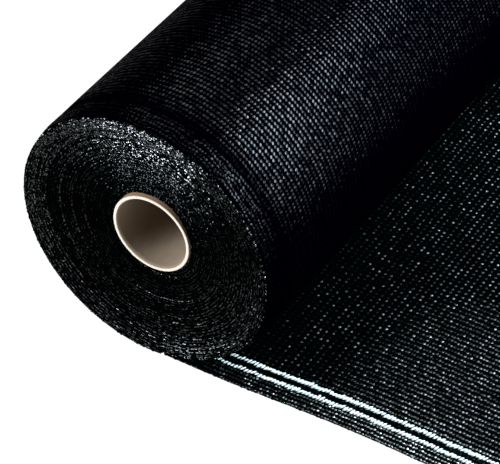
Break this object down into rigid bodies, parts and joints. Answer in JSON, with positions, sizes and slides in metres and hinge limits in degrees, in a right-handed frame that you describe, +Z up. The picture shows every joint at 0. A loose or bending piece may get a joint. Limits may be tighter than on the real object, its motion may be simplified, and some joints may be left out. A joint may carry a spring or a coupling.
{
  "type": "roll of shade cloth",
  "caption": "Black knitted shade cloth wound in a roll on a paperboard core, its loose end laid out flat with white border stripes.",
  "frame": {"origin": "on the floor, in the roll's flat spot under its axis, at the middle of its width", "axes": "+Y along the roll's axis, +X towards the loose end, +Z up from the floor"},
  "size_m": [0.5145, 1.0027, 0.1852],
  "materials": {
    "cloth": "black polyethylene knit, satin, with a white border stripe",
    "core": "matt kraft paperboard with a pale cut rim"
  },
  "bodies": {
    "root": {"core_tube": "core", "cloth_roll": "cloth", "loose_end": "cloth"}
  },
  "joints": []
}
